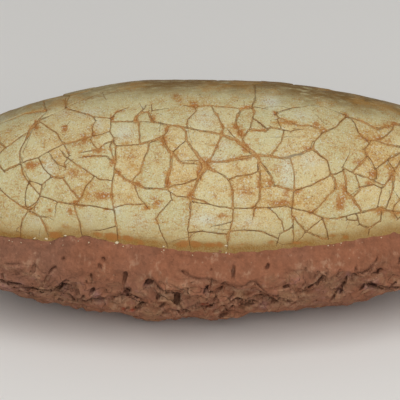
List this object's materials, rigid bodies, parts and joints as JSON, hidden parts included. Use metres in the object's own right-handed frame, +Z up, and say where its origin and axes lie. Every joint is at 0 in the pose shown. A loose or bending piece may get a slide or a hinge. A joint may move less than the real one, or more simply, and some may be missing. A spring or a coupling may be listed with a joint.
{
  "type": "fossil dinosaur egg",
  "caption": "Long fossil dinosaur egg with a cream shell crazed by orange-brown cracks, half buried in a cradle of chiselled red-brown rock; a display piece.",
  "frame": {"origin": "middle of the underside of the part's box, on the flat that the rock rests on", "axes": "+X along the egg's axis from its blunt end to its pointed end, +Z up; -Y is the side that shows most of the drawn cracks"},
  "size_m": [0.1928, 0.078, 0.071],
  "materials": {
    "eggshell": "matte",
    "matrix_rock": "rough"
  },
  "bodies": {
    "root": {"egg": "eggshell", "matrix": "matrix_rock"}
  },
  "joints": []
}
